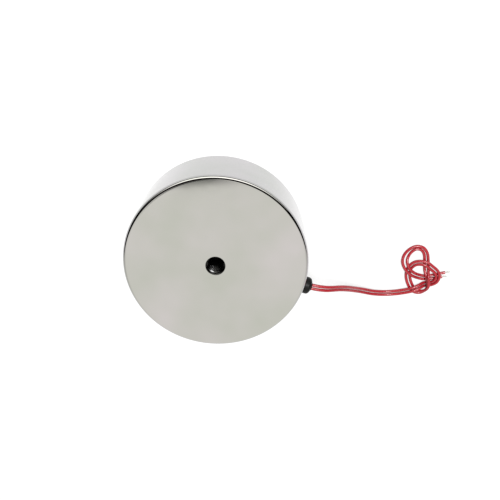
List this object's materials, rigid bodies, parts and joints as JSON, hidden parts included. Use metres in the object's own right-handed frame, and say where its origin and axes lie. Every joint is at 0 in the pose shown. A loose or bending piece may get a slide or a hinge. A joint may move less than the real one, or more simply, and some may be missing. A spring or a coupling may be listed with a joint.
{
  "type": "holding electromagnet",
  "caption": "Round holding electromagnet: plated iron pot with a potted ring coil, a threaded mounting hole, a rubber lead grommet and loosely knotted red leads.",
  "frame": {"origin": "centre of the holding face, on which the magnet stands", "axes": "+Z along the magnet's axis, from the holding face to the mounting face; +X out of the lead outlet"},
  "size_m": [0.1887, 0.1, 0.04],
  "materials": {
    "nickel_plate": "bright nickel plate on turned iron",
    "epoxy_resin": "cast epoxy, ground flush",
    "nylon": "moulded nylon",
    "enamelled_copper": "enamelled copper wire",
    "polyester_tape": "polyester tape",
    "black_rubber": "moulded rubber",
    "shrink_sleeve": "shrink sleeve",
    "red_pvc": "glossy PVC insulation",
    "tinned_copper": "tinned strands"
  },
  "bodies": {
    "root": {"pot_body": "nickel_plate", "potting_resin": "epoxy_resin", "coil_bobbin": "nylon", "coil_winding": "enamelled_copper", "coil_tape": "polyester_tape", "lead_grommet": "black_rubber", "splice_sleeve_1": "shrink_sleeve", "splice_sleeve_2": "shrink_sleeve", "lead_wire_1": "red_pvc", "lead_wire_2": "red_pvc", "tinned_end_1": "tinned_copper", "tinned_end_2": "tinned_copper"}
  },
  "joints": []
}
